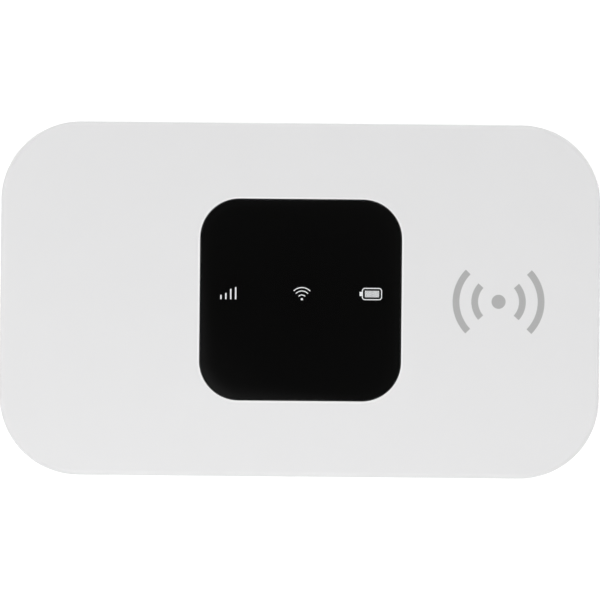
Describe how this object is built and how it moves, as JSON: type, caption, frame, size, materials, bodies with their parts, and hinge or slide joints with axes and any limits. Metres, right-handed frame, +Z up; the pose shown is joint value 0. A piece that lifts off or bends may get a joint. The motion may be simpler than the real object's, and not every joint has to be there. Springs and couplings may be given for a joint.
{
  "type": "mobile hotspot",
  "caption": "Flat white pocket LTE router with a square black status window, clip-on back cover, removable battery, side buttons and a USB socket.",
  "frame": {"origin": "centre of the back cover's underside, on the surface the device lies on", "axes": "+X along the long side, +Y along the short side towards the side with the buttons, +Z up out of the display window"},
  "size_m": [0.098, 0.0578, 0.0142],
  "materials": {
    "white_plastic": "satin white ABS/PC",
    "trim_gloss": "polished white",
    "grey_print": "grey ink",
    "clear_lens": "clear acrylic",
    "black_ink": "black screen print",
    "tape": "double-sided tape",
    "milky_diffuser": "milky",
    "black_plastic": "moulded black",
    "grey_plastic": "moulded light grey",
    "led": "LED resin",
    "board_green": "solder mask",
    "chip_black": "moulding compound",
    "ceramic": "ceramic",
    "tin_plate": "tinned sheet",
    "screw_steel": "black-zinc steel",
    "insert_brass": "brass",
    "gold_contact": "gold flash",
    "antenna_copper": "plated copper",
    "thermal_grey": "gap filler",
    "foam_black": "foam",
    "label_paper": "blank label",
    "battery_film": "printed film",
    "battery_can": "aluminium",
    "stem_plastic": "moulded",
    "card_plastic": "SIM card PVC"
  },
  "bodies": {
    "cover": {"back_cover": "white_plastic", "battery_pad": "foam_black"},
    "housing": {"top_housing": "white_plastic", "front_mark": "grey_print", "window_trim": "trim_gloss", "display_lens": "clear_lens", "lens_mask": "black_ink", "lens_tape": "tape", "icon_diffusers": "milky_diffuser", "light_baffle": "black_plastic", "status_leds": "led", "mid_frame": "grey_plastic", "rating_label": "label_paper", "frame_screws": "screw_steel", "thread_inserts": "insert_brass", "main_board": "board_green", "baseband_shield": "tin_plate", "rf_shield": "tin_plate", "wifi_shield": "tin_plate", "baseband_chip": "chip_black", "thermal_pad": "thermal_grey", "memory_chip": "chip_black", "power_chip": "chip_black", "transceiver_chip": "chip_black", "power_amplifiers": "chip_black", "wifi_chip": "chip_black", "power_inductors": "chip_black", "crystals": "tin_plate", "board_passives": "ceramic", "usb_shell": "tin_plate", "usb_tongue": "black_plastic", "usb_contacts": "gold_contact", "side_switches": "tin_plate", "reset_switch": "tin_plate", "sim_cage": "tin_plate", "sim_base": "black_plastic", "sim_contacts": "gold_contact", "battery_connector": "black_plastic", "battery_springs": "gold_contact", "antenna_carriers": "black_plastic", "main_antenna": "antenna_copper", "diversity_antenna": "antenna_copper", "wifi_antenna": "ceramic", "antenna_springs": "gold_contact"},
    "battery": {"battery_cell": "battery_can", "battery_wrap": "battery_film", "battery_end_cap": "black_plastic", "battery_contact_cap": "black_plastic", "battery_contacts": "gold_contact", "protection_board": "board_green"},
    "power_button": {"power_button": "white_plastic", "power_plunger": "stem_plastic"},
    "wifi_button": {"wifi_button": "white_plastic", "wifi_plunger": "stem_plastic"},
    "reset_plunger": {"reset_plunger": "stem_plastic"},
    "sim_card": {"sim_card": "card_plastic"}
  },
  "joints": [
    {"name": "housing_lift", "type": "slide", "parent": "cover", "child": "housing", "axis": [0, 0, 1], "range_m": [0, 0.025]},
    {"name": "battery_lift", "type": "slide", "parent": "cover", "child": "battery", "axis": [0, 0, 1], "range_m": [0, 0.0125]},
    {"name": "power_press", "type": "slide", "parent": "housing", "child": "power_button", "axis": [0, -1, 0], "range_m": [0, 0.0003], "stiffness_N_per_m": 400, "springref_m": -0.0005},
    {"name": "wifi_press", "type": "slide", "parent": "housing", "child": "wifi_button", "axis": [0, -1, 0], "range_m": [0, 0.0003], "stiffness_N_per_m": 400, "springref_m": -0.0005},
    {"name": "reset_press", "type": "slide", "parent": "housing", "child": "reset_plunger", "axis": [0, 0, 1], "range_m": [0, 0.0002], "stiffness_N_per_m": 400, "springref_m": -0.0005},
    {"name": "sim_slide", "type": "slide", "parent": "housing", "child": "sim_card", "axis": [0, -1, 0], "range_m": [0, 0.011]}
  ],
  "couplings": [
    {"joint": "battery_lift", "follows": "housing_lift", "ratio": 0.5}
  ]
}
